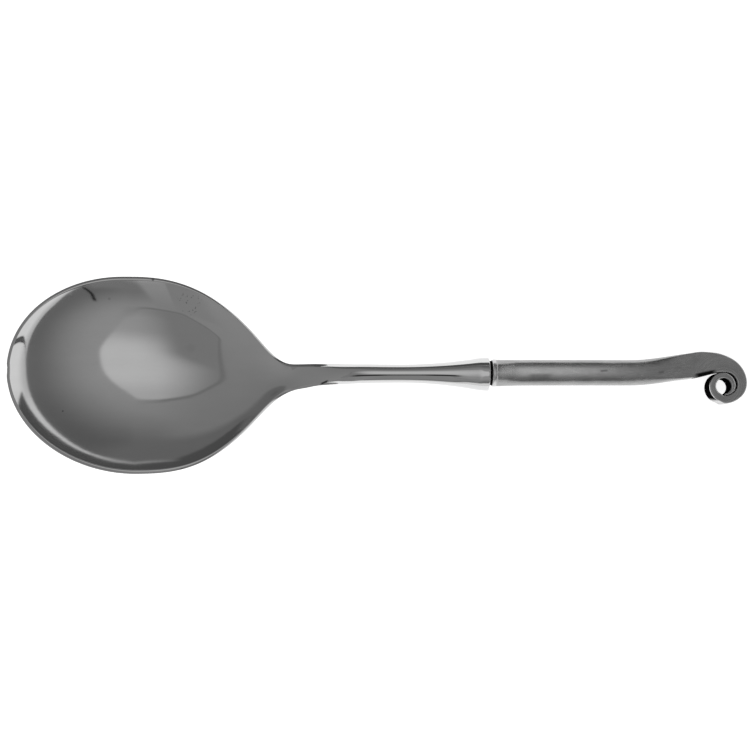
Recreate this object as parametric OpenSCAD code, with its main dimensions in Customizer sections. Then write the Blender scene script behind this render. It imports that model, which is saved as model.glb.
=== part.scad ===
// Casserole spoon: a polished bowl with a round neck and a trumpet collar, on a forged bar
// that ends in a rolled scroll. Millimetres. +X runs along the spoon towards the scroll,
// +Y is to the left as seen from the bowl's tip, +Z is up. The spoon lies at rest, leaning
// a little to the left: the bowl's bottom and the scroll's lower edge both touch z = 0.

/* [Rest] */
// Lean of the whole spoon to the left as it lies, in degrees
spoon_lean = 5; // [0:0.5:8]

/* [Bowl] */
// Length of the bowl from its tip to the start of the neck
bowl_l = 93.5; // [86:0.1:100]
// Distance from the tip to the widest part of the bowl
bowl_widest = 40.1; // [36:0.1:44]
// Reach of the rim to the left of the neck's axis
bowl_left = 32.6; // [28:0.1:36]
// Reach of the rim to the right of the neck's axis
bowl_right = 32.2; // [28:0.1:36]
// Drift of the hand-shaped tip to the left of the neck's axis
tip_drift = 2; // [0:0.1:3]
// Distance from the tip to the deepest part of the bowl
bowl_deepest = 49.3; // [42:0.1:54]
// Offset of the deepest part to the left of the bowl's middle
deepest_left = 3; // [0:0.5:6]
// Depth of the hollow below the rim
bowl_depth = 11; // [8:0.5:16]
// Thickness of the bowl's bottom
bowl_t = 1.8; // [1.2:0.1:3]
// Width of the rim's upper edge
rim_t = 1.3; // [0.9:0.1:2]
// Height of the rim's rounded outer edge
rim_lip = 0.6; // [0.3:0.1:1]
// Distance before the bowl's end at which the rim starts to sweep up into the neck
sweep_back = 9.3; // [6:0.1:14]
// Length over which the rim sweeps up
sweep_l = 14; // [10:0.5:20]

/* [Shoulders] */
// Distance from the widest part to where the left rim would cross the axis
left_runout = 51.2; // [46:0.2:56]
// Fullness of the left shoulder
left_full = 2.4; // [2:0.05:3]
// Size of the fillet between the left shoulder and the neck
left_fillet = 6.8; // [3:0.2:12]
// Distance from the widest part to where the right rim would cross the axis
right_runout = 56.6; // [50:0.2:62]
// Fullness of the right shoulder
right_full = 3; // [2:0.05:4]
// Hollowness of the right shoulder where it runs out
right_hollow = 1.6; // [1:0.1:2]
// Size of the fillet between the right shoulder and the neck
right_fillet = 8.8; // [4:0.2:14]

/* [Neck] */
// Length of the neck from the bowl to the collar's mouth
neck_l = 63.5; // [58:0.5:75]
// Width of the flat strap where the neck leaves the bowl
strap_w = 7.2; // [5:0.1:9]
// Thickness of the flat strap
strap_t = 3.2; // [2.4:0.1:4]
// Length of the flat strap before the neck turns round
strap_l = 14; // [8:0.5:20]
// Distance after the bowl's end at which the climbing neck starts to bend over
elbow_at = 11.4; // [8:0.2:16]
// Length over which the neck bends over
elbow_l = 17.8; // [12:0.2:24]
// Length over which the neck then dips to the collar's slope
dip_l = 25; // [16:1:28]
// Diameter of the neck at its waist
waist_d = 6; // [5:0.1:7.5]
// Length of the trumpet flare behind the collar
flare_l = 26; // [20:0.5:30]
// Diameter of the collar's mouth
collar_d = 11; // [10:0.1:13]
// Length of the nearly straight band at the collar's mouth
collar_land = 2.8; // [1:0.2:5]
// Taper of that band, on the diameter
collar_taper = 0.3; // [0:0.1:0.6]
// Length behind the collar's mouth over which its axis is straight
collar_straight = 7.8; // [6:0.2:12]
// Downward slope of the collar and the foot of the bar, in degrees
collar_slope = 6; // [2:0.5:8]

/* [Tang and groove] */
// Diameter of the tang inside the collar
tang_d = 5; // [3.5:0.1:5.5]
// Length of the tang inside the collar
tang_l = 12; // [8:0.5:14]
// Gap between the tang and its socket, on the radius
tang_clearance = 0.05; // [0.02:0.01:0.15]
// Free space left at the bottom of the socket
socket_spare = 0.5; // [0.2:0.1:2]
// Diameter of the shoulder that seats on the collar's mouth
seat_d = 8; // [6.5:0.1:8.6]
// Width of the open groove that the shoulder leaves
groove_w = 1.1; // [0.6:0.1:2]

/* [Bar] */
// Diameter of the bar's swaged foot
foot_d = 9.1; // [8.7:0.1:10]
// Length of the foot's raised band
foot_l = 1.5; // [1:0.1:4]
// Bevel round both edges of that band
foot_bevel = 0.3; // [0.2:0.05:0.5]
// Length over which the round foot turns into the bar
foot_blend = 7; // [3:0.5:12]
// Width of the bar
bar_w = 8.4; // [7:0.1:9]
// Height of the bar
bar_h = 7; // [6:0.1:8.5]
// Distance from the collar's mouth to the centre of the scroll's eye
eye_reach = 78.1; // [70:0.1:90]
// Offset of the bar's foot to the left of the neck's axis
bar_offset = 0.4; // [0:0.1:1]
// Drift of the bar to the left over its length
bar_drift = 1.1; // [0:0.1:2]
// Further swing of the bar to the left before the scroll
bar_swing = 2.7; // [1.5:0.1:3.5]
// Length over which the bar swings
swing_l = 27; // [20:1:32]
// Distance before the eye at which that swing ends
swing_rest = 4; // [0:0.5:8]
// Further downward bend of the bar before the scroll, in degrees
bar_droop = 5.5; // [2:0.5:7]
// Length over which the bar takes that bend
droop_l = 50; // [30:1:55]

/* [Scroll] */
// Diameter of the scroll's eye
eye_d = 5.2; // [4.6:0.1:5.6]
// Distance of the eye's centre to the right of the neck's axis
eye_drop = 3; // [2.5:0.1:4.5]
// Thickness of the scroll between its flat faces
scroll_t = 6.4; // [4.5:0.1:7]
// Width of the band over the top of the eye
band_top = 5.8; // [5:0.1:6.4]
// Width of the band once it has thinned out
band_mid = 3.25; // [2.6:0.05:3.4]
// Loss of width in each further turn
band_loss = 1.3; // [0.8:0.1:1.6]
// Width of the band at its very tip
band_tip = 0.35; // [0.25:0.05:0.8]
// Gap that stays open between the turns
seam = 0.12; // [0.1:0.02:0.3]
// Extra width of the open crescent between the turns
crescent = 0.45; // [0:0.05:0.8]
// Widening of the V-shaped notch between the bar and the scroll
notch_w = 0.9; // [0.6:0.1:1.4]
// Radius of the scroll's edges
scroll_edge = 0.5; // [0.3:0.05:0.9]
// Length over which the bar flattens to the scroll's thickness
flat_l = 16.5; // [10:0.5:24]
// Distance before the eye at which the bar starts to turn in
turn_in = 10.5; // [9:0.5:12]

/* [Hidden] */

// Loft resolution
ring_n = 48;
half_n = ring_n / 2;
front_n = 15;
back_n = 40;
round_fn = 72;
overlap = 2;
skin = 0.03;

// Shape of the dished section: 0 is a parabola, 1 is nearly square
dish_across = 0.1;
dish_front = 0.3;
dish_back = 1.4;
rim_round = 0.3;

// Angles round the eye, clockwise from the side the bar lies on
scroll_first = -30;
scroll_step = 10;
tip_turn = 540;
thin_turn = 440;
top_fade = 50;
notch_from = -18;
notch_span = 28;
crescent_from = 10;
crescent_to = 125;

function ease(t) = let (c = min(max(t, 0), 1)) c * c * (3 - 2 * c);
function mix(a, b, t) = a + (b - a) * t;
function blend_max(a, b, soft) =
    let (h = max(soft - abs(a - b), 0) / soft)
    max(a, b) + h * h * soft / 4;
// Rise of a line whose slope eases in from 0 to 1 over a unit of length
function risen(t) = t <= 0 ? 0 : t >= 1 ? t - 0.5 : pow(t, 3) - pow(t, 4) / 2;

// Places worked out along the spoon, measured from the bowl's tip

rim_z0 = bowl_depth + bowl_t;
mouth_x = bowl_l + neck_l;
waist_x = mouth_x - (flare_l + collar_land) * cos(collar_slope);
straight_x = mouth_x - collar_straight * cos(collar_slope);
back_l = bowl_l - bowl_widest;
sweep_x = bowl_l - sweep_back;
elbow_x = bowl_l + elbow_at;
dip_x = straight_x - dip_l;
waist_r = waist_d / 2;
land_r = (collar_d - collar_taper) / 2;

// The bar's spine, in the handle's own frame: x along the tang, z up

droop_k = tan(bar_droop) / (2 * droop_l);
function spine_slope(p) = atan(2 * droop_k * min(p, droop_l));
function spine_x(p) = p < droop_l ? p : droop_l + (p - droop_l) * cos(bar_droop);
function spine_z(p) =
    -droop_k * pow(min(p, droop_l), 2) - max(p - droop_l, 0) * sin(bar_droop);
function on_spine(p, q, w) =
    let (b = spine_slope(p))
    [spine_x(p) + w * sin(b), q, spine_z(p) + w * cos(b)];

// From the handle's own frame to the spoon's, where the collar's mouth is the origin
function tilt_down(v) =
    [v.x * cos(collar_slope) + v.z * sin(collar_slope), v.y,
     -v.x * sin(collar_slope) + v.z * cos(collar_slope)];

// Width of the scroll's band, and the radius of its inner face, at an angle round the eye
function band(turn) =
    let (full = band_mid - band_loss * turn / 360 + (band_top - band_mid) * exp(-turn / top_fade))
    mix(full, band_tip, ease((turn - thin_turn) / (tip_turn - thin_turn)));
function turn_gap(turn) =
    let (c = (turn - crescent_from) / (crescent_to - crescent_from),
         n = max(notch_from - turn, 0) / notch_span)
    seam + notch_w * pow(n, 1.6) + (c > 0 && c < 1 ? crescent * pow(sin(180 * c), 0.7) : 0);
function band_in(turn) =
    turn < tip_turn - 360 + 0.1
        ? eye_d / 2 + band(turn + 360) + turn_gap(turn)
        : mix(eye_d / 2 + band_tip + seam, eye_d / 2 - 5 * skin,
              ease((turn - tip_turn + 360) / (2 * scroll_step)));
function band_out(turn) =
    turn < tip_turn - 360 + 0.1 ? band_in(turn) + band(turn) : eye_d / 2 + band(turn);

// Sections along the handle: [p, q, lean, half width, half height, corner across, corner up].
// The lean turns the cut from square to the bar to radial round the eye.
foot_end = groove_w + foot_l;
foot_r = foot_d / 2;
root_r = foot_r - foot_bevel / 2;
bar_end = eye_reach - turn_in;
corner_w = 0.4 * bar_w;
corner_h = 0.38 * bar_h;
function bar_q(p) =
    bar_offset + bar_drift * p / eye_reach
    + bar_swing * ease(1 - (eye_reach - swing_rest - p) / swing_l);

function foot_cut(p, r) = [p, bar_q(p), 0, r, r, r, r];
function bar_cut(p) =
    let (k = ease((p - foot_end) / foot_blend), f = ease(1 - (bar_end - p) / flat_l))
    [p, bar_q(p), 0,
     mix(root_r, bar_w / 2, k),
     mix(mix(root_r, bar_h / 2, k), scroll_t / 2, f),
     mix(mix(root_r, corner_w, k), scroll_edge, f),
     mix(mix(root_r, corner_h, k), scroll_edge, f)];
function turn_cut(turn) =
    let (a = band_in(turn), b = band_out(turn), h = (b - a) / 2, e = min(scroll_edge, 0.8 * h))
    [eye_reach + (a + h) * sin(turn), -eye_drop + (a + h) * cos(turn), turn,
     h, scroll_t / 2, e, e];
function mid_cut(a, b, t) = [for (i = [0:6]) mix(a[i], b[i], t)];

handle_cuts = let (last = bar_cut(bar_end), first = turn_cut(scroll_first)) concat(
    [foot_cut(groove_w, foot_r - foot_bevel), foot_cut(groove_w + foot_bevel, foot_r),
     foot_cut(foot_end - foot_bevel, foot_r)],
    [for (t = [0, 0.25, 0.5, 0.75]) bar_cut(foot_end + foot_blend * t)],
    [for (i = [0:14]) bar_cut(mix(foot_end + foot_blend, bar_end, i / 14))],
    [for (t = [0.25, 0.5, 0.75]) mid_cut(last, first, t)],
    [for (turn = [scroll_first:scroll_step:tip_turn]) turn_cut(turn)]);

corner_n = 5;
function cut_ring(c) =
    [for (i = [0:3], j = [0:corner_n - 1])
        let (a = 90 * (i + j / (corner_n - 1)),
             side = (i == 0 || i == 3) ? 1 : -1, up = i < 2 ? 1 : -1,
             across = side * (c[3] - c[5]) + c[5] * cos(a),
             w = up * (c[4] - c[6]) + c[6] * sin(a))
        on_spine(c[0] + across * sin(c[2]), c[1] + across * cos(c[2]), w)];

handle_rings = [for (c = handle_cuts) cut_ring(c)];

// Outline of the rim, on either side of the neck's axis
function flare_r(run) = mix(waist_r, land_r, pow(max(1 - (run - collar_land) / flare_l, 0), 2));
function neck_half(x) =
    x < waist_x ? mix(strap_w / 2, waist_r, ease((x - bowl_l) / (waist_x - bowl_l)))
    : flare_r((mouth_x - x) / cos(collar_slope));
function rim_side(x, half, runout, full, hollow, fillet) =
    let (v = 1 - pow(max(x - bowl_widest, 0) / runout, full))
    blend_max(half * sign(v) * pow(abs(v), hollow), neck_half(x), fillet);
function rim_left(x) = rim_side(x, bowl_left, left_runout, left_full, 1, left_fillet);
function rim_right(x) =
    rim_side(x, bowl_right, right_runout, right_full, right_hollow, right_fillet);

// Depth of the hollow, as a share of the full depth: across the bowl and along it
skew = deepest_left / bowl_left;
function dish(c, square) = 1 - (1 - square) * c * c - square * pow(c, 4);
function dish_over(t) = dish(t - skew * (1 - t * t), dish_across);
function dish_along(x) =
    x < bowl_deepest ? dish((bowl_deepest - x) / (bowl_deepest - rim_t), dish_front)
    : pow(max(1 - pow((x - bowl_deepest) / (bowl_l - bowl_deepest + strap_w / 2), 2), 0), dish_back);

// How the spoon lies once it leans: the bowl's lowest point sets the lift, and the handle's
// reach and depth set where the collar's mouth has to be
function lean_y(v) = v.y * cos(spoon_lean) + v.z * sin(spoon_lean);
function lean_z(v) = v.z * cos(spoon_lean) - v.y * sin(spoon_lean);
bowl_spots = [
    for (c = concat([for (i = [1:front_n]) front_cut(90 * i / front_n)],
                    [for (i = [1:front_n]) back_cut(mix(bowl_widest, sweep_x, i / front_n))]),
         i = [0:ring_n - 1]) shell_spot(c, i)];
bowl_sides = [for (v = bowl_spots) lean_y(v)];
lift = -min([for (v = bowl_spots) lean_z(v)]);
handle_spots = [for (ring = handle_rings, v = ring) tilt_down(v)];
handle_end = max([for (v = handle_spots) v.x]);
mouth_z = -(min([for (v = handle_spots) lean_z(v)]) + lift) / cos(spoon_lean);
middle_x = (mouth_x + handle_end) / 2;
middle_y = (max(bowl_sides) + min(bowl_sides)) / 2;

// Heights along the head: the rim runs level round the bowl, climbs into the neck at the slope
// that brings it to the collar, bends over, and dips to the collar's slope
fall = tan(collar_slope);
climb = (mouth_z + (mouth_x - straight_x + dip_l / 2) * fall + strap_t / 2 - rim_z0)
    / (elbow_x + elbow_l / 2 - sweep_x - sweep_l / 2);
function rim_z(x) =
    x <= sweep_x ? rim_z0
    : rim_z0 + climb * sweep_l * risen((x - sweep_x) / sweep_l)
      - climb * elbow_l * risen((x - elbow_x) / elbow_l)
      - fall * dip_l * risen((x - dip_x) / dip_l);
function neck_slope(x) =
    atan(climb * (ease((x - sweep_x) / sweep_l) - ease((x - elbow_x) / elbow_l))
         - fall * ease((x - dip_x) / dip_l));

function wall(x) = mix(bowl_t, strap_t, ease((x - bowl_widest) / back_l * 2 - 1));

// Sections along the head: [outer x, inner x, outer left, outer right, inner left, inner right,
// rim height, depth inside, depth outside, roundness, slope of the axis]
function front_cut(b) =
    let (s = cos(b), w = sin(b), x_in = bowl_widest - (bowl_widest - rim_t) * s,
         d = dish_along(x_in))
    [bowl_widest * (1 - s), x_in,
     bowl_left * w + tip_drift * s, -bowl_right * w + tip_drift * s,
     (bowl_left - rim_t) * w + tip_drift * s, -(bowl_right - rim_t) * w + tip_drift * s,
     rim_z0, bowl_depth * d, (bowl_depth + bowl_t - rim_lip) * d, 0, 0];
function back_cut(x) =
    let (l = rim_left(x), r = rim_right(x), d = bowl_depth * dish_along(x),
         k = ease((x - bowl_l - strap_l) / (waist_x - bowl_l - strap_l)))
    [x, x, l, -r, l - rim_t, -r + rim_t, rim_z(x), d, d + wall(x) - rim_lip, k,
     k > 0 ? neck_slope(x) : 0];

head_cuts = concat(
    [front_cut(2)],
    [for (i = [1:front_n]) front_cut(90 * i / front_n)],
    [for (i = [1:back_n]) back_cut(mix(bowl_widest, straight_x + overlap, i / back_n))]);

function shell_spot(c, i) =
    let (mirror_i = i > half_n ? ring_n - i : min(i, half_n - i),
         left = i < ring_n / 4)
    i == 0 ? [c[0], c[2], c[6] - rim_lip]
    : i == half_n ? [c[0], c[3], c[6] - rim_lip]
    : i > half_n
        ? let (t = cos(360 * i / ring_n))
          [c[0], (c[2] + c[3]) / 2 + (c[2] - c[3]) / 2 * t,
           c[6] - rim_lip - c[8] * dish_over(t)]
    : mirror_i == 1
        ? [mix(c[0], c[1], rim_round), mix(left ? c[2] : c[3], left ? c[4] : c[5], rim_round),
           c[6] - rim_lip * 0.2]
    : let (t = cos(180 * (i - 2) / (half_n - 4)))
      [c[1], (c[4] + c[5]) / 2 + (c[4] - c[5]) / 2 * t, c[6] - c[7] * dish_over(t)];
function round_spot(c, i) =
    let (a = 360 * i / ring_n, r = (c[2] - c[3]) / 2 - skin)
    [c[0] - r * sin(a) * sin(c[10]), (c[2] + c[3]) / 2 + r * cos(a),
     c[6] - strap_t / 2 + r * sin(a) * cos(c[10])];
function head_ring(c) = [for (i = [0:ring_n - 1]) mix(shell_spot(c, i), round_spot(c, i), c[9])];

// Skin of quads over a stack of rings, zipped shut across both ends
function zip(n, base, flip) =
    [for (i = [0:n / 2 - 1])
        let (a = base + i, b = base + i + 1, c = base + (n - i - 1), d = base + (n - i) % n)
        each i == 0 ? [flip ? [a, b, c] : [a, c, b]]
            : i == n / 2 - 1 ? [flip ? [a, b, d] : [a, d, b]]
            : [flip ? [a, b, c] : [a, c, b], flip ? [a, c, d] : [a, d, c]]];
module loft(rings) {
    n = len(rings[0]);
    m = len(rings);
    polyhedron(
        points = [for (ring = rings, v = ring) v],
        faces = concat(
            [for (k = [0:m - 2], i = [0:n - 1])
                let (a = k * n + i, b = k * n + (i + 1) % n)
                each [[a, b + n, b], [a, a + n, b + n]]],
            zip(n, 0, true), zip(n, (m - 1) * n, false)));
}

// Lays what it holds on the table, leant over, with its middle over the origin
module laid() {
    translate([-middle_x, -middle_y, lift]) rotate([-spoon_lean, 0, 0]) children();
}

// Turns +Z of what it holds to run back from the collar's mouth along the neck
module at_mouth() {
    translate([mouth_x, 0, mouth_z]) rotate([0, collar_slope - 90, 0]) children();
}

module flare() {
    steps = 8;
    rotate_extrude($fn = round_fn)
        polygon(concat(
            [[0, 0], [collar_d / 2, 0]],
            [for (i = [0:steps])
                let (run = mix(collar_land, collar_straight, i / steps)) [flare_r(run), run]],
            [[0, collar_straight]]));
}

module spoon_head() {
    color([0.62, 0.63, 0.64])
        laid()
            difference() {
                union() {
                    loft([for (c = head_cuts) head_ring(c)]);
                    at_mouth() flare();
                }
                at_mouth()
                    translate([0, 0, -overlap])
                        cylinder(
                            d = tang_d + 2 * tang_clearance,
                            h = tang_l + socket_spare + overlap,
                            $fn = round_fn);
            }
}

module scroll_handle() {
    color([0.45, 0.45, 0.46])
        laid()
            translate([mouth_x, 0, mouth_z])
            rotate([0, collar_slope, 0])
                difference() {
                    union() {
                        loft(handle_rings);
                        rotate([0, 90, 0])
                            cylinder(d = seat_d, h = groove_w + overlap, $fn = round_fn);
                        translate([-tang_l, 0, 0])
                            rotate([0, 90, 0])
                                cylinder(d = tang_d, h = tang_l + overlap, $fn = round_fn);
                    }
                    translate(on_spine(eye_reach, -eye_drop, 0))
                        rotate([0, bar_droop, 0])
                            cylinder(d = eye_d, h = 2 * scroll_t, center = true, $fn = round_fn);
                }
}

spoon_head();
scroll_handle();
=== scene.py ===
import math

import bpy
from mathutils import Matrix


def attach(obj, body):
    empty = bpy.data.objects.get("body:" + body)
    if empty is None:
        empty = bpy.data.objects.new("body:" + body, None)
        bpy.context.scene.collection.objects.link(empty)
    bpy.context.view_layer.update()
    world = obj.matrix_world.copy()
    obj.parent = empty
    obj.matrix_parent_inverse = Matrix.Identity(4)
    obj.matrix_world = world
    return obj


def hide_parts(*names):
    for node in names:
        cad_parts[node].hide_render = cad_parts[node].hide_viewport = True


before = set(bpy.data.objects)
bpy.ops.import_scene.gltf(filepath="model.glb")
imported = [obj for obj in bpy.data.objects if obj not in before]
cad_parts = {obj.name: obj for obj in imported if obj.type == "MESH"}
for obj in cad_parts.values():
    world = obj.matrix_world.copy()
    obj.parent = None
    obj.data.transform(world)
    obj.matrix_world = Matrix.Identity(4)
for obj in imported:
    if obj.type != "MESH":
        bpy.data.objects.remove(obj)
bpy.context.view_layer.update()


# The camera looks straight down on the spoon from a metre above the table, as a catalogue
# photographer's camera on a copy stand does. The picture's middle lies a little to the left of
# the spoon's middle.
bpy.ops.object.camera_add(location=(-0.001, 0, 1.0), rotation=(0, 0, 0))
camera = bpy.context.object
camera.name = "copy_stand_camera"
camera.data.lens = 145.3
camera.data.sensor_width = 36
camera.data.clip_start = 0.01
camera.data.clip_end = 50
bpy.context.scene.camera = camera


# The head: one piece of stainless steel, forged and then polished to a mirror. The bowl's sheet
# thickens into a flat strap, the strap turns into a round neck, and the neck flares out into a
# trumpet collar with a blind socket for the tang. Millimetres, counted from the bowl's tip.
BOWL_L = 93.5
BOWL_WIDEST = 40.1
BOWL_DEEPEST = 49.3
DEEPEST_LEFT = 3
BOWL_LEFT = 32.6
BOWL_RIGHT = 32.2
TIP_DRIFT = 2
BOWL_DEPTH = 11
BOWL_T = 1.8
BACK_L = BOWL_L - BOWL_WIDEST

# How full the hollow is towards the tip, the sides and the neck, and where its sides grow gentler
TIP_FULL = 0.3
SIDE_FULL = 0.1
GENTLE_LESS = 0.42
BACK_POWER = 1.4
GENTLE_LEFT_FROM = 66
GENTLE_LEFT_L = 16
GENTLE_RIGHT_FROM = 74
GENTLE_RIGHT_L = 12

# The rim slopes down and out over its thickness, to a lower edge that stands out a little
RIM_T = 1
RIM_LIP = 0.6
RIM_MIDDLE = 0.4
RIM_BULGE = 0.12

# The strap climbs out of the bowl, bends over at the elbow and turns round
STRAP_W = 7.2
STRAP_T = 3.2
SWEEP_BACK = 9.3
SWEEP_L = 14
ELBOW_AT = 11.4
ELBOW_L = 17.8
ROUND_FROM = 99
ROUND_L = 18

# The round neck dips to the collar. A ridge along its right side bounds a flatter lower flank
NECK_L = 63.5
DIP_L = 25
WAIST_D = 6
FACET_ANGLE = 38
RIDGE_FROM = 105.5
RIDGE_TO = 144
RIDGE_IN_L = 3
RIDGE_OUT_L = 6
RIDGE_TURN_L = 9
RIDGE_LOW_ANGLE = 150
RIDGE_HIGH_ANGLE = 100

# The collar and its socket
FLARE_L = 26
COLLAR_D = 11
COLLAR_LAND = 2.8
COLLAR_TAPER = 0.3
COLLAR_STRAIGHT = 7.8
COLLAR_SLOPE = math.radians(6)
SOCKET_D = 5.1
SOCKET_L = 12.5
MOUTH_Z = 17.4732

# How the spoon lies: leant over to its left, with the middle of its box over the frame's origin
SPOON_LEAN = math.radians(5)
MIDDLE_X = 121.275
MIDDLE_Y = 1.2777
LIFT = 0.3996

# Spots in a ring round the head, the one at its right edge, and rings from the bowl's widest on
RING_N = 48
HALF_N = 24
BACK_RINGS = 48

# Worked out from these. The climb is the slope at which the neck rises far enough for the collar
MOUTH_X = BOWL_L + NECK_L
WAIST_X = MOUTH_X - (FLARE_L + COLLAR_LAND) * math.cos(COLLAR_SLOPE)
STRAIGHT_X = MOUTH_X - COLLAR_STRAIGHT * math.cos(COLLAR_SLOPE)
SWEEP_X = BOWL_L - SWEEP_BACK
ELBOW_X = BOWL_L + ELBOW_AT
DIP_X = STRAIGHT_X - DIP_L
RIM_Z = BOWL_DEPTH + BOWL_T
LAND_R = (COLLAR_D - COLLAR_TAPER) / 2
FALL = math.tan(COLLAR_SLOPE)
CLIMB = ((MOUTH_Z + (MOUTH_X - STRAIGHT_X + DIP_L / 2) * FALL + STRAP_T / 2 - RIM_Z)
         / (ELBOW_X + ELBOW_L / 2 - SWEEP_X - SWEEP_L / 2))
SKEW = DEEPEST_LEFT / BOWL_LEFT


def ease(t):
    c = min(max(t, 0), 1)
    return c * c * (3 - 2 * c)


def ease_from(x, start, length):
    """0 up to the start and 1 from a length beyond it, smooth between."""
    return ease((x - start) / length)


def mix(a, b, t):
    return a + (b - a) * t


def laid(spot):
    """From the spoon's own upright frame to the table: leant over, centred, in metres."""
    x, y, z = spot
    c, s = math.cos(SPOON_LEAN), math.sin(SPOON_LEAN)
    return (
        (x - MIDDLE_X) / 1000,
        (y * c + z * s - MIDDLE_Y) / 1000,
        (z * c - y * s + LIFT) / 1000,
    )


def select_none():
    bpy.ops.object.select_all(action="DESELECT")


def tube_of_rings(name, rings):
    """A sheet of quads, bent so that each of its rows lies on one ring, sewn up and capped."""
    select_none()
    n = len(rings[0])
    bpy.ops.mesh.primitive_grid_add(x_subdivisions=n, y_subdivisions=len(rings) - 1, size=1)
    tube = bpy.context.object
    tube.name = name
    tube.data.name = name
    spots = tube.data.vertices
    for k, ring in enumerate(rings):
        for i in range(n + 1):
            spots[k * (n + 1) + i].co = ring[i % n]
    bpy.ops.object.mode_set(mode="EDIT")
    bpy.ops.mesh.select_all(action="SELECT")
    bpy.ops.mesh.remove_doubles(threshold=1e-7)
    bpy.ops.mesh.select_all(action="DESELECT")
    bpy.ops.mesh.select_mode(type="EDGE")
    bpy.ops.mesh.select_non_manifold()
    bpy.ops.mesh.edge_face_add()
    bpy.ops.mesh.select_all(action="SELECT")
    bpy.ops.mesh.normals_make_consistent(inside=False)
    bpy.ops.object.mode_set(mode="OBJECT")
    return tube


def rounded(piece, levels):
    """Subdivides the cage smoothly, and applies that."""
    select_none()
    piece.select_set(True)
    bpy.context.view_layer.objects.active = piece
    smooth = piece.modifiers.new("smooth", "SUBSURF")
    smooth.levels = levels
    smooth.render_levels = levels
    bpy.ops.object.modifier_apply(modifier=smooth.name)
    bpy.ops.object.shade_smooth()


def risen(t):
    """Rise of a line whose slope eases in from 0 to 1 over a unit of length."""
    if t <= 0:
        return 0
    return t - 0.5 if t >= 1 else t**3 - t**4 / 2


def rim_z(x):
    """The rim runs level round the bowl, climbs into the neck, bends over and dips."""
    return (RIM_Z + CLIMB * SWEEP_L * risen((x - SWEEP_X) / SWEEP_L)
            - CLIMB * ELBOW_L * risen((x - ELBOW_X) / ELBOW_L)
            - FALL * DIP_L * risen((x - DIP_X) / DIP_L))


def neck_slope(x):
    return math.atan(CLIMB * (ease_from(x, SWEEP_X, SWEEP_L) - ease_from(x, ELBOW_X, ELBOW_L))
                     - FALL * ease_from(x, DIP_X, DIP_L))


def flare_r(run):
    return mix(WAIST_D / 2, LAND_R, max(1 - (run - COLLAR_LAND) / FLARE_L, 0) ** 2)


def neck_half(x):
    if x < WAIST_X:
        return mix(STRAP_W / 2, WAIST_D / 2, ease_from(x, BOWL_L, WAIST_X - BOWL_L))
    return flare_r((MOUTH_X - x) / math.cos(COLLAR_SLOPE))


def rim_side(x, half, runout, full, hollow, fillet):
    """Half the width on one side: the bowl draws in over its runout and fillets into the neck."""
    v = 1 - (max(x - BOWL_WIDEST, 0) / runout) ** full
    reach = half * math.copysign(abs(v) ** hollow, v)
    neck = neck_half(x)
    h = max(fillet - abs(reach - neck), 0) / fillet
    return max(reach, neck) + h * h * fillet / 4


def rim_left(x):
    return rim_side(x, BOWL_LEFT, runout=51.2, full=2.4, hollow=1, fillet=6.8)


def rim_right(x):
    return rim_side(x, BOWL_RIGHT, runout=56.6, full=3, hollow=1.6, fillet=8.8)


def dish(c, full):
    """1 in the middle of the hollow and 0 at its edge; the fuller it is, the steeper its side."""
    return 1 - (1 - full) * c * c - full * c**4


def dish_over(t, gentle=(0, 0)):
    """The hollow's shape across; its sides run out gently near the neck, on the right and left."""
    gentler = mix(gentle[0], gentle[1], ease_from(t, -0.2, 0.8))
    return dish(t - SKEW * (1 - t * t), SIDE_FULL - GENTLE_LESS * gentler)


def dish_along(x):
    if x < BOWL_DEEPEST:
        return dish((BOWL_DEEPEST - x) / (BOWL_DEEPEST - RIM_T), TIP_FULL)
    runout = BOWL_L - BOWL_DEEPEST + STRAP_W / 2
    return max(1 - ((x - BOWL_DEEPEST) / runout) ** 2, 0) ** BACK_POWER


def front_cut(b):
    """A cut through the front of the bowl, from its tip at 0 to its widest at a quarter turn."""
    s, w = math.cos(b), math.sin(b)
    x_in = BOWL_WIDEST - (BOWL_WIDEST - RIM_T) * s
    drift = TIP_DRIFT * s
    return {
        "x_out": BOWL_WIDEST * (1 - s), "x_in": x_in,
        "left": BOWL_LEFT * w + drift, "right": -BOWL_RIGHT * w + drift,
        "left_in": (BOWL_LEFT - RIM_T) * w + drift, "right_in": -(BOWL_RIGHT - RIM_T) * w + drift,
        "rim": RIM_Z, "inside": BOWL_DEPTH * dish_along(x_in),
        "outside": (BOWL_DEPTH + BOWL_T - RIM_LIP) * dish_along(x_in), "round": 0, "slope": 0,
        "tip": s, "gentle": (0, 0),
    }


def back_cut(x):
    """A cut through the bowl, the strap or the neck, from the bowl's widest place on."""
    left, right = rim_left(x), rim_right(x)
    inside = BOWL_DEPTH * dish_along(x)
    wall = mix(BOWL_T, STRAP_T, ease((x - BOWL_WIDEST) / BACK_L * 2 - 1))
    return {
        "x_out": x, "x_in": x, "left": left, "right": -right,
        "left_in": left - RIM_T, "right_in": -right + RIM_T, "rim": rim_z(x),
        "inside": inside, "outside": inside + wall - RIM_LIP,
        "round": ease_from(x, ROUND_FROM, ROUND_L), "slope": neck_slope(x), "tip": 0,
        "gentle": (ease_from(x, GENTLE_RIGHT_FROM, GENTLE_RIGHT_L),
                   ease_from(x, GENTLE_LEFT_FROM, GENTLE_LEFT_L)),
    }


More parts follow.
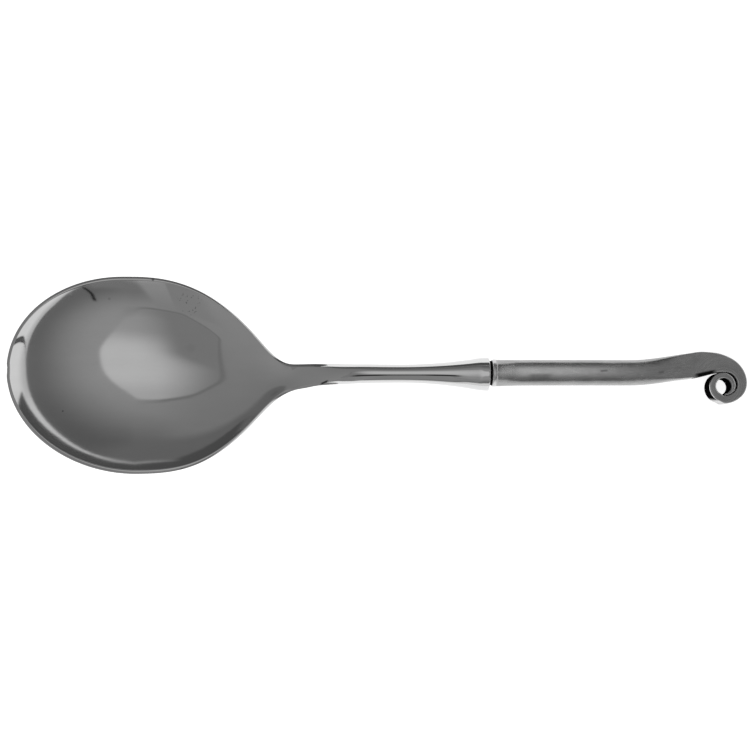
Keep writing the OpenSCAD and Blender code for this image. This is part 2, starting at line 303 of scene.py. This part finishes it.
def shell_spot(cut, i):
    """From the left edge over the rim and the hollow to the right edge, and back underneath."""
    edge_x, lip_z = cut["x_out"] - RIM_BULGE * cut["tip"], cut["rim"] - RIM_LIP
    if i == 0:
        return edge_x, cut["left"] + RIM_BULGE, lip_z
    if i == HALF_N:
        return edge_x, cut["right"] - RIM_BULGE, lip_z
    if i > HALF_N:
        t = math.cos(2 * math.pi * i / RING_N)
        mid, half = (cut["left"] + cut["right"]) / 2, (cut["left"] - cut["right"]) / 2
        return cut["x_out"], mid + half * t, lip_z - cut["outside"] * dish_over(t)
    if i in (1, HALF_N - 1):
        side = "left" if i == 1 else "right"
        return (mix(cut["x_out"], cut["x_in"], RIM_MIDDLE),
                mix(cut[side], cut[side + "_in"], RIM_MIDDLE), cut["rim"] - RIM_LIP * 0.5)
    t = math.cos(math.pi * (i - 2) / (HALF_N - 4))
    mid, half = (cut["left_in"] + cut["right_in"]) / 2, (cut["left_in"] - cut["right_in"]) / 2
    return cut["x_in"], mid + half * t, cut["rim"] - cut["inside"] * dish_over(t, cut["gentle"])


def facet(x, a):
    """The forging's flatter lower flank on the right, below a ridge that comes up from the edge."""
    ridge = mix(RIDGE_LOW_ANGLE, RIDGE_HIGH_ANGLE, ease_from(x, RIDGE_FROM, RIDGE_TURN_L))
    depth = ease_from(x, RIDGE_FROM, RIDGE_IN_L) * (1 - ease_from(x, RIDGE_TO, RIDGE_OUT_L))
    beside = abs(math.degrees(a) - ridge - FACET_ANGLE / 2)
    if beside > FACET_ANGLE / 2:
        return 1
    flat = math.cos(math.radians(FACET_ANGLE / 2)) / math.cos(math.radians(beside))
    return mix(1, flat, depth)


def round_spot(cut, i):
    a = 2 * math.pi * i / RING_N
    r = (cut["left"] - cut["right"]) / 2 * facet(cut["x_in"], a)
    return (cut["x_in"] - r * math.sin(a) * math.sin(cut["slope"]),
            (cut["left"] + cut["right"]) / 2 + r * math.cos(a),
            cut["rim"] - STRAP_T / 2 + r * math.sin(a) * math.cos(cut["slope"]))


def head_ring(cut):
    ring = []
    for i in range(RING_N):
        a, b = shell_spot(cut, i), round_spot(cut, i)
        ring.append(laid([mix(p, q, cut["round"]) for p, q in zip(a, b)]))
    return ring


def mouth_ring(run, r):
    """A ring square to the collar's axis, at a distance back from the collar's mouth."""
    ring = []
    c, s = math.cos(COLLAR_SLOPE), math.sin(COLLAR_SLOPE)
    for i in range(RING_N):
        a = 2 * math.pi * i / RING_N
        y, up = r * math.cos(a), r * math.sin(a)
        ring.append(laid((MOUTH_X - run * c + up * s, y, MOUTH_Z + run * s + up * c)))
    return ring


head_rings = [head_ring(front_cut(math.radians(b))) for b in (2, *range(6, 91, 6))]
for i in range(1, BACK_RINGS + 1):
    head_rings.append(head_ring(back_cut(mix(BOWL_WIDEST, STRAIGHT_X, i / BACK_RINGS))))
for run in (6.6, 5.4, 4.1, COLLAR_LAND):
    head_rings.append(mouth_ring(run, flare_r(run)))

# The collar's rounded lip, its flat mouth, and the wall and the floor of its socket
collar_r, socket_r = COLLAR_D / 2, SOCKET_D / 2
for run, r in ((1.4, collar_r - 0.08), (0.35, collar_r - 0.02), (0.08, collar_r - 0.02),
               (0, collar_r - 0.1), (0, collar_r - 0.4), (0, socket_r + 0.65),
               (0, socket_r + 0.2), (0, socket_r + 0.05), (0.15, socket_r), (1, socket_r),
               (SOCKET_L - 0.3, socket_r), (SOCKET_L, socket_r - 0.15)):
    head_rings.append(mouth_ring(run, r))
spoon_bowl = tube_of_rings("bowl_neck_and_collar", head_rings)
rounded(spoon_bowl, 2)


def feed(socket, value):
    """Sets a socket to a number or a triple, or links another socket to it."""
    if isinstance(value, (int, float, tuple)):
        socket.default_value = value
    else:
        links.new(value, socket)


def calc(operation, *inputs):
    node = nodes.new("ShaderNodeMath")
    node.operation = operation
    for socket, value in zip(node.inputs, inputs):
        feed(socket, value)
    return node.outputs[0]


def line(start, a, b, c=None, d=None):
    """Start plus a share of one value, and of a second one if that is given."""
    total = calc("ADD", start, calc("MULTIPLY", a, b))
    return total if c is None else calc("ADD", total, calc("MULTIPLY", c, d))


def off(value, middle):
    """How far a value is from a middle one, on either side."""
    return calc("ABSOLUTE", calc("SUBTRACT", value, middle))


def rises(value, low, high):
    """0 below low, 1 above high and smooth between."""
    node = nodes.new("ShaderNodeMapRange")
    node.interpolation_type = "SMOOTHSTEP"
    feed(node.inputs["Value"], value)
    feed(node.inputs["From Min"], low)
    feed(node.inputs["From Max"], high)
    return node.outputs[0]


def falls(value, low, high):
    return calc("SUBTRACT", 1, rises(value, low, high))


def both(a, b):
    return calc("MULTIPLY", a, b)


def most(first, *others):
    for value in others:
        first = calc("MAXIMUM", first, value)
    return first


def blend(a, b, share):
    return calc("ADD", a, calc("MULTIPLY", share, calc("SUBTRACT", b, a)))


def vector_calc(operation, *inputs):
    node = nodes.new("ShaderNodeVectorMath")
    node.operation = operation
    for socket, value in zip(node.inputs, inputs):
        feed(socket, value)
    return node.outputs["Value" if operation in ("DOT_PRODUCT", "LENGTH") else "Vector"]


def xyz(spots):
    node = nodes.new("ShaderNodeSeparateXYZ")
    links.new(spots, node.inputs[0])
    return node.outputs["X"], node.outputs["Y"], node.outputs["Z"]


def places_mm():
    """Places on the piece in millimetres, and the same places pressed flat on the table."""
    place = nodes.new("ShaderNodeTexCoord").outputs["Object"]
    return (vector_calc("MULTIPLY", place, (1000.0, 1000.0, 1000.0)),
            vector_calc("MULTIPLY", place, (1000.0, 1000.0, 0.0)))


def noise(spots, scale, detail):
    node = nodes.new("ShaderNodeTexNoise")
    feed(node.inputs["Vector"], spots)
    feed(node.inputs["Scale"], scale)
    feed(node.inputs["Detail"], detail)
    return node.outputs[0]


def grey(value):
    node = nodes.new("ShaderNodeCombineColor")
    for k in range(3):
        links.new(value, node.inputs[k])
    return node.outputs[0]


def bumped(shader, height, depth):
    node = nodes.new("ShaderNodeBump")
    node.inputs["Strength"].default_value = 1
    node.inputs["Distance"].default_value = depth
    links.new(height, node.inputs["Height"])
    links.new(node.outputs[0], shader.inputs["Normal"])


def spot(x, y, low, high):
    """1 round a place seen from above, given in millimetres, and 0 beyond its edge."""
    return falls(vector_calc("LENGTH", vector_calc("ADD", flat_mm, (-x, -y, 0.0))), low, high)


def streak(x, y, angle, half_l, half_w):
    """A short tapering mark round a place, at an angle in degrees from +X."""
    c, s = math.cos(math.radians(angle)), math.sin(math.radians(angle))
    moved = vector_calc("ADD", flat_mm, (-x, -y, 0.0))
    along = calc("ABSOLUTE", vector_calc("DOT_PRODUCT", moved, (c, s, 0.0)))
    across = calc("ABSOLUTE", vector_calc("DOT_PRODUCT", moved, (-s, c, 0.0)))
    return both(falls(along, half_l * 0.4, half_l), falls(across, half_w * 0.3, half_w))


polished = bpy.data.materials.new("mirror_polished_steel")
polished.use_nodes = True
nodes, links = polished.node_tree.nodes, polished.node_tree.links
shader = nodes["Principled BSDF"]
shader.inputs["Metallic"].default_value = 1
in_mm, flat_mm = places_mm()
x_mm, y_mm, z_mm = xyz(in_mm)

# A painted dark reflection line along the ridge where the forging's flat lower flank meets the
# round of the neck.
# It bows to the right at both of its ends. A short nick lies before it, at the root of the neck
DARK_LINE_MIDDLE = 9.0
DARK_LINE_HALF_L = 18.1
NECK_TOP_Z = 17.0
along_dark_line = calc("ABSOLUTE", calc("DIVIDE", calc("SUBTRACT", x_mm, DARK_LINE_MIDDLE), DARK_LINE_HALF_L))
dark_line_y = line(-0.05, calc("POWER", along_dark_line, 4), -0.36)
painted_dark_line = falls(off(y_mm, dark_line_y), 0.12, 0.32)
painted_dark_line = both(painted_dark_line, falls(along_dark_line, 0.86, 1.04))
painted_dark_line = both(painted_dark_line, line(0.6, rises(along_dark_line, 0.2, 0.55), 0.4))
painted_dark_line = both(painted_dark_line, rises(z_mm, NECK_TOP_Z - 1, NECK_TOP_Z))
nick = both(streak(-17.4, -2.4, 24, 1.7, 0.45), rises(z_mm, RIM_Z - 0.8, RIM_Z + 0.2))

# Small pits in the polish by the bowl's left edge, a few specks, and a faint smudge in the middle
PITS_PER_MM = 1.05
cells = nodes.new("ShaderNodeTexVoronoi")
feed(cells.inputs["Scale"], PITS_PER_MM)
feed(cells.inputs["Vector"], flat_mm)
pits = falls(cells.outputs["Distance"], 0.14, 0.3)
pits = both(pits, both(spot(-61.8, 23.6, 2.2, 5.2), 0.45))
specks = most(spot(-73.6, 31.2, 0.25, 0.6), spot(-103.2, -11.8, 0.15, 0.4),
              both(spot(-100.4, 26.3, 0.3, 1.2), 0.4), both(spot(-88.2, 25.0, 0.2, 0.7), 0.3))
smudge = both(spot(-61.8, 8.9, 0.6, 2.4), 0.06)
# The real marks and the painted dark reflection line darken, roughen and dent the polish together
marks_and_dark_line = most(pits, both(specks, 0.6), smudge, painted_dark_line, nick)

# Fine wiping scratches along the spoon, and slight waves left by the polishing wheel
POLISHED_LEVEL = 0.575
MARK_AND_LINE_LEVEL = 0.05
POLISHED_ROUGH = 0.035
POLISHED_WAVE = 0.00001
scratched = noise(vector_calc("MULTIPLY", in_mm, (0.12, 5.0, 5.0)), 1, 3)
wiped = noise(vector_calc("MULTIPLY", in_mm, (0.03, 0.25, 0.1)), 1, 2)
cloud = noise(in_mm, 0.08, 3)
level = line(line(POLISHED_LEVEL, scratched, 0.03, cloud, 0.05), wiped, 0.04)
rough = line(line(POLISHED_ROUGH, cloud, 0.03, scratched, 0.03), marks_and_dark_line, 0.3)
feed(shader.inputs["Base Color"], grey(blend(level, MARK_AND_LINE_LEVEL, marks_and_dark_line)))
feed(shader.inputs["Roughness"], rough)
bumped(shader, line(line(0, wiped, 1, scratched, 0.02), marks_and_dark_line, -0.2), POLISHED_WAVE)
spoon_bowl.data.materials.append(polished)
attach(spoon_bowl, "root")
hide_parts("spoon_head")


# The handle: one bar of stainless steel with a satin skin, swaged to a round foot and a tang that
# is fixed in the collar, and drawn out thin at the other end and rolled into a scroll round an open
# eye. Millimetres, counted from the collar's mouth.
TANG_D = 5
TANG_L = 12
SHOULDER_D = 8
GROOVE_W = 1.1
FOOT_D = 9.1
FOOT_L = 1.5
FOOT_BEVEL = 0.3
FOOT_BLEND = 7

# The bar starts a little to the left, drifts further that way, swings out before the scroll, and
# droops towards the table. The radius of its corners is a share of its width and of its height
BAR_W = 8.4
BAR_H = 7
BAR_CORNER_W = 0.4
BAR_CORNER_H = 0.38
BAR_OFFSET = 0.4
BAR_DRIFT = 1.1
BAR_SWING = 2.7
SWING_L = 27
SWING_REST = 4
BAR_DROOP = math.radians(5.5)
DROOP_L = 50

# The scroll is one band rolled up round the eye. Turns are in degrees, from the eye's left side
EYE_D = 5.2
EYE_REACH = 78.1
EYE_DROP = 3
SCROLL_T = 6.4
SCROLL_EDGE = 0.5
BAND_TOP = 5.8
BAND_MID = 3.25
BAND_LOSS = 1.3
BAND_SETTLES = 50
BAND_TIP = 0.35
SEAM = 0.12
CRESCENT = 0.45
CRESCENT_FROM = 10
CRESCENT_TURN = 115
NOTCH_W = 0.9
NOTCH_TO = -18
NOTCH_TURN = 28
FLAT_L = 16.5
TURN_IN = 10.5
FIRST_TURN = -30
TIP_TURN = 540
THIN_TURN = 440

BAR_RINGS = 18
FOOT_END = GROOVE_W + FOOT_L
BAR_END = EYE_REACH - TURN_IN
DROOP_K = math.tan(BAR_DROOP) / (2 * DROOP_L)
INNER_FROM = TIP_TURN - 360


def on_spine(p, q, w):
    """A spot beside the bar's bent spine, laid on the table, in metres."""
    b = math.atan(2 * DROOP_K * min(p, DROOP_L))
    past = max(p - DROOP_L, 0)
    x = min(p, DROOP_L) + past * math.cos(BAR_DROOP) + w * math.sin(b)
    z = -DROOP_K * min(p, DROOP_L) ** 2 - past * math.sin(BAR_DROOP) + w * math.cos(b)
    c, s = math.cos(COLLAR_SLOPE), math.sin(COLLAR_SLOPE)
    return laid((MOUTH_X + x * c + z * s, q, MOUTH_Z - x * s + z * c))


def band(turn):
    """The band's thickness: most where it leaves the bar, less with each turn, least at its tip."""
    root = (BAND_TOP - BAND_MID) * math.exp(-turn / BAND_SETTLES)
    full = BAND_MID - BAND_LOSS * turn / 360 + root
    return mix(full, BAND_TIP, ease_from(turn, THIN_TURN, TIP_TURN - THIN_TURN))


def turn_gap(turn):
    """The gap between two turns: a notch by the bar, an open crescent, and a hairline seam."""
    c = (turn - CRESCENT_FROM) / CRESCENT_TURN
    n = max(NOTCH_TO - turn, 0) / NOTCH_TURN
    return SEAM + NOTCH_W * n**1.6 + (CRESCENT * math.sin(math.pi * c) ** 0.7 if 0 < c < 1 else 0)


def band_in(turn):
    """How far the band's inner side is from the eye's middle: it lies on the turn inside it."""
    if turn < INNER_FROM + 0.1:
        return EYE_D / 2 + band(turn + 360) + turn_gap(turn)
    return mix(EYE_D / 2 + BAND_TIP + SEAM, EYE_D / 2, ease_from(turn, INNER_FROM, 20))


def band_out(turn):
    return band(turn) + (band_in(turn) if turn < INNER_FROM + 0.1 else EYE_D / 2)


def bar_q(p):
    """How far to the left of the collar's axis the bar's middle is."""
    return (BAR_OFFSET + BAR_DRIFT * p / EYE_REACH
            + BAR_SWING * ease(1 - (EYE_REACH - SWING_REST - p) / SWING_L))


def round_cut(p, r):
    return p, bar_q(p), 0, r, r, r, r


def bar_cut(p):
    """A cut with rounded corners, from round at the foot to flat-sided before the scroll."""
    root_r = FOOT_D / 2 - FOOT_BEVEL / 2
    k, f = ease_from(p, FOOT_END, FOOT_BLEND), ease(1 - (BAR_END - p) / FLAT_L)
    return (p, bar_q(p), 0, mix(root_r, BAR_W / 2, k),
            mix(mix(root_r, BAR_H / 2, k), SCROLL_T / 2, f),
            mix(mix(root_r, BAR_CORNER_W * BAR_W, k), SCROLL_EDGE, f),
            mix(mix(root_r, BAR_CORNER_H * BAR_H, k), SCROLL_EDGE, f))


def turn_cut(turn):
    a, b = band_in(turn), band_out(turn)
    h = (b - a) / 2
    edge = min(SCROLL_EDGE, 0.8 * h)
    t = math.radians(turn)
    return (EYE_REACH + (a + h) * math.sin(t), -EYE_DROP + (a + h) * math.cos(t), turn, h,
            SCROLL_T / 2, edge, edge)


def cut_ring(cut):
    """Four rounded corners of six spots each, round one cut through the bar or the band."""
    p, q, lean, half_w, half_h, edge_w, edge_h = cut
    lean = math.radians(lean)
    ring = []
    for i in range(4):
        for j in range(6):
            a = math.pi / 2 * (i + j / 5)
            side, up = (1 if i in (0, 3) else -1), (1 if i < 2 else -1)
            across = side * (half_w - edge_w) + edge_w * math.cos(a)
            w = up * (half_h - edge_h) + edge_h * math.sin(a)
            ring.append(on_spine(p + across * math.sin(lean), q + across * math.cos(lean), w))
    return ring


# The tang, the shoulder, the open groove before the foot, and the foot with its bevel
tang_r, shoulder_r, foot_r = TANG_D / 2, SHOULDER_D / 2, FOOT_D / 2
handle_cuts = [round_cut(p, r) for p, r in (
    (-TANG_L, tang_r - 0.4), (-TANG_L, tang_r - 0.15), (0.2 - TANG_L, tang_r), (-1, tang_r),
    (-0.1, tang_r), (0, tang_r + 0.1), (0, shoulder_r - 0.2), (0, shoulder_r - 0.05),
    (0.1, shoulder_r), (GROOVE_W - 0.2, shoulder_r), (GROOVE_W - 0.05, shoulder_r + 0.02),
    (GROOVE_W, shoulder_r + 0.1), (GROOVE_W, shoulder_r + 0.2), (GROOVE_W + 0.06, foot_r - 0.23),
    (GROOVE_W + FOOT_BEVEL, foot_r - 0.02), (GROOVE_W + 0.5, foot_r),
    (FOOT_END - 0.45, foot_r), (FOOT_END - 0.25, foot_r - 0.02))]
for t in (0, 0.06, 0.25, 0.5, 0.75):
    handle_cuts.append(bar_cut(FOOT_END + FOOT_BLEND * t))
for i in range(BAR_RINGS + 1):
    handle_cuts.append(bar_cut(mix(FOOT_END + FOOT_BLEND, BAR_END, i / BAR_RINGS)))
last, first = bar_cut(BAR_END), turn_cut(FIRST_TURN)
for t in (0.25, 0.5, 0.75):
    handle_cuts.append([mix(a, b, t) for a, b in zip(last, first)])
for turn in range(FIRST_TURN, TIP_TURN + 1, 10):
    handle_cuts.append(turn_cut(turn))
handle = tube_of_rings("scroll_handle_bar", [cut_ring(c) for c in handle_cuts])
rounded(handle, 2)


def way_mm(start, end):
    """The way from one laid spot to another, in millimetres."""
    return tuple(1000 * (b - a) for a, b in zip(start, end))


satin = bpy.data.materials.new("satin_forged_steel")
satin.use_nodes = True
nodes, links = satin.node_tree.nodes, satin.node_tree.links
shader = nodes["Principled BSDF"]
shader.inputs["Metallic"].default_value = 1
in_mm, flat_mm = places_mm()
x_mm, y_mm, _ = xyz(in_mm)

# Painted shade, near black, dull and not metallic, inside the eye, between the scroll's turns, in
# the notch beside them and in the open groove by the collar
eye_at = way_mm((0, 0, 0), on_spine(EYE_REACH, -EYE_DROP, 0))
eye_axis = way_mm(on_spine(EYE_REACH, -EYE_DROP, 0), on_spine(EYE_REACH, -EYE_DROP, 1))
mouth_at = way_mm((0, 0, 0), on_spine(0, 0, 0))
bar_axis = way_mm(on_spine(-0.5, 0, 0), on_spine(0.5, 0, 0))
from_eye = vector_calc("SUBTRACT", in_mm, eye_at)
depth = calc("SUBTRACT", SCROLL_T / 2, vector_calc("DOT_PRODUCT", from_eye, eye_axis))
from_axis = vector_calc("LENGTH", vector_calc("CROSS_PRODUCT", from_eye, eye_axis))
shade_in_eye = both(rises(depth, 0.25, 0.5), falls(from_axis, 3.0, 3.3))
shade_by_turns = both(rises(depth, 0.35, 0.6), spot(110.7, -0.4, 7.2, 8.2))
shade_in_notch = streak(107.2, 0.35, 12, 5.2, 1.3)
from_mouth = vector_calc("DOT_PRODUCT", vector_calc("SUBTRACT", in_mm, mouth_at), bar_axis)
shade_in_groove = falls(from_mouth, GROOVE_W - 0.1, GROOVE_W + 0.05)
scale = most(shade_in_eye, shade_by_turns, shade_in_notch, shade_in_groove)

# A painted highlight on the scroll's edge towards the bowl, two small stains, and a soft dark
# streak of painted shadow
painted_glint = both(both(rises(depth, 0.06, 0.15), falls(depth, 0.4, 0.55)), spot(108.3, -5.2, 2.2, 3.6))
stains = most(streak(73.5, 1.4, 5, 1.6, 0.5), streak(92.5, 0.9, 10, 1.2, 0.5))
shadow = streak(52.5, -0.7, 0, 5.0, 1.6)

# The bar was brushed along its length, and the scroll round its eye, over shallow hammer marks
brushed = noise(vector_calc("MULTIPLY", in_mm, (0.12, 2.2, 2.2)), 1, 3)
turned = nodes.new("ShaderNodeTexNoise")
turned.noise_dimensions = "1D"
turned.inputs["Scale"].default_value = 2.6
turned.inputs["Detail"].default_value = 3
links.new(from_axis, turned.inputs["W"])
grain = blend(brushed, turned.outputs[0], spot(113.0, -3.5, 8.0, 14.0))
hammered = noise(vector_calc("MULTIPLY", in_mm, (0.6, 1.0, 1.0)), 0.22, 2)

# Painted highlight along the bar's top and on the foot's bevel, and painted shade down its flanks
painted_top_highlight = falls(off(y_mm, 1.4), 0.2, 2.6)
painted_top_highlight = both(painted_top_highlight, both(rises(x_mm, 38.3, 40.5), falls(x_mm, 58.0, 96.0)))
painted_flank_shade = both(rises(off(y_mm, 1.2), 1.0, 3.0), falls(x_mm, 88.0, 100.0))
painted_bevel_highlight = both(rises(x_mm, 36.9, 37.1), falls(x_mm, 38.0, 38.5))

SATIN_LEVEL = 0.31
RECESS_SHADE_LEVEL = 0.008
SATIN_ROUGH = 0.17
SATIN_DENT = 0.00012
level = line(SATIN_LEVEL, grain, 0.18, hammered, 0.14)
# Painted highlight on the top and on the bevel, and painted shade on the flanks
level = line(line(level, painted_top_highlight, 0.48, painted_flank_shade, -0.1), painted_bevel_highlight, 0.2)
# The painted shadow streak, the stains, and the painted highlight on the scroll's edge
level = blend(level, 0.24, both(shadow, 0.6))
level = blend(level, 0.2, both(stains, 0.6))
level = blend(level, 0.95, painted_glint)
# The painted shade held in scale makes these recesses near black, rougher and not metallic
rough = line(line(SATIN_ROUGH, grain, 0.08, hammered, 0.1), scale, 0.4)
feed(shader.inputs["Base Color"], grey(blend(level, RECESS_SHADE_LEVEL, scale)))
feed(shader.inputs["Metallic"], calc("SUBTRACT", 1, scale))
shader.inputs["Specular IOR Level"].default_value = 0
feed(shader.inputs["Roughness"], rough)
bumped(shader, line(0, hammered, 1, grain, 0.06), SATIN_DENT)
handle.data.materials.append(satin)
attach(handle, "root")
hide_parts("scroll_handle")


# The table: a plain white sheet. It shows white to the camera and in the steel, and it still
# takes the spoon's soft shadow.
select_none()
bpy.ops.mesh.primitive_circle_add(vertices=64, radius=4, fill_type="NGON", location=(0, 0, 0))
table = bpy.context.object
table.name = "white_table"
paper = bpy.data.materials.new("white_paper")
paper.use_nodes = True
nodes, links = paper.node_tree.nodes, paper.node_tree.links
shader = nodes["Principled BSDF"]
shader.inputs["Base Color"].default_value = (0.9, 0.9, 0.9, 1)
shader.inputs["Roughness"].default_value = 0.9
shader.inputs["Specular IOR Level"].default_value = 0
shader.inputs["Emission Color"].default_value = (1, 1, 1, 1)
PAPER_GLOW = 0.85
rays = nodes.new("ShaderNodeLightPath").outputs
seen = most(rays["Is Camera Ray"], rays["Is Glossy Ray"], rays["Is Transmission Ray"])
feed(shader.inputs["Emission Strength"], both(seen, PAPER_GLOW))
table.data.materials.append(paper)


# The light: a grey studio tent with a big soft light overhead and a white opening, made as one
# pattern on the sky. U and V lay it out as a map: its middle is straight up, its right is the
# scroll's side, its top is the spoon's left side, and the horizon is at a radius of 1.
world = bpy.data.worlds.new("studio_tent")
bpy.context.scene.world = world
world.use_nodes = True
nodes, links = world.node_tree.nodes, world.node_tree.links
nodes.clear()
OVAL_POWER = 2.4


def smooth_max(a, b, soft):
    return calc("SMOOTH_MAX", a, b, soft)


def over(value, start):
    """How far a value is above a start, and 0 below it."""
    return calc("MAXIMUM", calc("SUBTRACT", value, start), 0)


def under(value, start):
    """How far a value is below a start, and 0 above it."""
    return calc("MAXIMUM", calc("SUBTRACT", start, value), 0)


def oval_part(value, middle, half):
    """One of the two terms of an oval that is a little squarer than an ellipse."""
    return calc("POWER", calc("DIVIDE", off(value, middle), half), OVAL_POWER)


# The map is drawn as seen from straight below, with a little added so that nothing is divided by 0
sky_x, sky_y, sky_z = xyz(nodes.new("ShaderNodeTexCoord").outputs["Generated"])
below = calc("ADD", 1.02, sky_z)
u = calc("DIVIDE", sky_x, below)
v = calc("DIVIDE", sky_y, below)

# Grey walls: even on the left, brighter round the light and darker towards the opening, which
# begins where the oval reaches about 1
oval = calc("ADD", oval_part(u, -0.37, 0.79), oval_part(v, -0.01, 0.7))
oval = calc("POWER", oval, 1 / OVAL_POWER)
wall_left = line(0.36, v, -0.09)
wall_left = blend(wall_left, 0.365, both(falls(v, -0.44, -0.38), rises(u, -0.55, -0.35)))
wall_right = blend(0.46, 0.22, rises(oval, 0.6, 0.93))
wall_right = both(wall_right, line(1, rises(v, 0.15, 0.5), -0.22))
tent = blend(wall_left, wall_right, rises(u, -0.25, 0.05))
tent = blend(tent, 0.217, both(rises(v, 0.5, 0.575), falls(u, 0.0, 0.2)))

# The overhead light, brightest on its right, with a thin dark frame on its other sides. Each of
# its edges is a line across the map that is below 0 on the light's side
edge_right = smooth_max(line(-0.105, u, 0.935, v, -0.354), line(-0.097, u, 1), 0.03)
edge_right = smooth_max(edge_right, line(-0.144, u, 0.872, v, 0.49), 0.06)
edge_top = line(-0.283, u, -0.196, v, 0.981)
edge_top = smooth_max(edge_top, line(-0.304, u, -0.707, v, 0.707), 0.04)
edge_left = line(-0.27, u, -1, calc("POWER", under(v, 0.09), 2), -0.84)
edge_low = smooth_max(line(-0.444, u, -0.592, v, -0.806), line(-0.393, v, -1), 0.03)
light_edge = smooth_max(smooth_max(edge_right, edge_top, 0.07),
                        smooth_max(edge_left, edge_low, 0.04), 0.05)
frame_line = both(rises(light_edge, -0.004, 0.008), falls(light_edge, 0.012, 0.028))
frame_line = both(frame_line, falls(u, -0.08, 0.02))
strength = both(blend(0.2, 0.51, rises(v, -0.22, -0.05)), line(1, rises(v, 0.12, 0.26), -0.3))
strength = both(strength, line(1, falls(v, -0.38, -0.3), -0.4))
bright_from = blend(-0.15, -0.3, rises(v, -0.06, 0.08))
light_level = line(0.32, strength, rises(u, bright_from, 0.03))
tent = blend(tent, 0.255, both(frame_line, 0.9))
tent = blend(tent, light_level, falls(light_edge, -0.006, 0.006))

# A paler strip of cloth below the light, and a pale patch and a dark seam to the right of it
strip_left = line(-0.151, u, -1, v, 0.07)
strip_right = line(0.169, u, 1, v, 0.13)
in_strip = both(falls(strip_left, 0.0, 0.012), falls(strip_right, 0.0, 0.03))
in_strip = both(in_strip, falls(v, -0.44, -0.41))
in_patch = both(falls(v, -0.6, -0.54), both(rises(u, -0.1, -0.03), falls(u, 0.08, 0.13)))
tent = blend(tent, 0.29, in_patch)
tent = blend(tent, line(0.25, v, -0.3), in_strip)
seam_u = line(0.1, over(v, -0.5), -0.15, calc("POWER", under(v, -0.5), 1.3), 1)
in_seam = falls(off(u, seam_u), 0.004, 0.01)
in_seam = both(in_seam, both(falls(v, -0.45, -0.42), rises(v, -0.6, -0.585)))
tent = blend(tent, 0.0, in_seam)

# The dark far wall at the top, above a slanting edge
DARK_LEVEL = 0.12
wall_edge = line(0.675, calc("MINIMUM", calc("ADD", u, 0.15), 0), 0.17)
in_dark = both(rises(calc("SUBTRACT", v, wall_edge), -0.012, 0.012), rises(u, -0.64, -0.56))
tent = blend(tent, DARK_LEVEL, in_dark)

# The white opening on the right, which thins out to a bright line over the dark wall at the top
line_level = calc("MINIMUM", line(0.35, over(u, -0.12), 2.2), 1.0)
opening = blend(0.8, 1.15, rises(oval, 0.99, 1.05))
opening = blend(opening, line_level, rises(v, 0.2, 0.35))
open_edge = line(0.982, rises(v, 0.42, 0.6), 0.012, falls(v, -0.58, -0.42), 0.03)
in_opening = rises(calc("SUBTRACT", oval, open_edge), -0.007, 0.007)
tent = blend(tent, opening, both(in_opening, rises(u, -0.22, -0.1)))

# A dark leaf hangs before the opening's upper part, and a dark notch reaches in from its horizon
leaf_in = line(1.042, calc("MINIMUM", v, 0.5), -0.068)
leaf_out = line(0.897, v, 0.545)
in_leaf = both(rises(calc("SUBTRACT", oval, leaf_in), -0.004, 0.006),
               falls(calc("SUBTRACT", oval, leaf_out), -0.006, 0.006))
tent = blend(tent, DARK_LEVEL, both(in_leaf, rises(v, 0.235, 0.25)))
notch_bend = calc("EXPONENT", calc("MULTIPLY", calc("SUBTRACT", u, 0.42), -45))
notch_v = line(-0.11, u, -0.1, notch_bend, 0.1)
notch_half = blend(0.007, 0.03, rises(u, 0.415, 0.47))
notch = calc("DIVIDE", off(v, notch_v), notch_half)
notch_level = blend(0.17, 0.085, rises(notch, 0.2, 0.6))
tent = blend(tent, notch_level, both(falls(notch, 0.8, 1.2), rises(u, 0.4, 0.41)))

# Below the horizon the tent is white, as the table is
tent = blend(1.0, tent, rises(sky_z, -0.02, 0.0))
background = nodes.new("ShaderNodeBackground")
links.new(tent, background.inputs["Strength"])
output = nodes.new("ShaderNodeOutputWorld")
links.new(background.outputs[0], output.inputs["Surface"])
bpy.context.scene.view_settings.view_transform = "Standard"
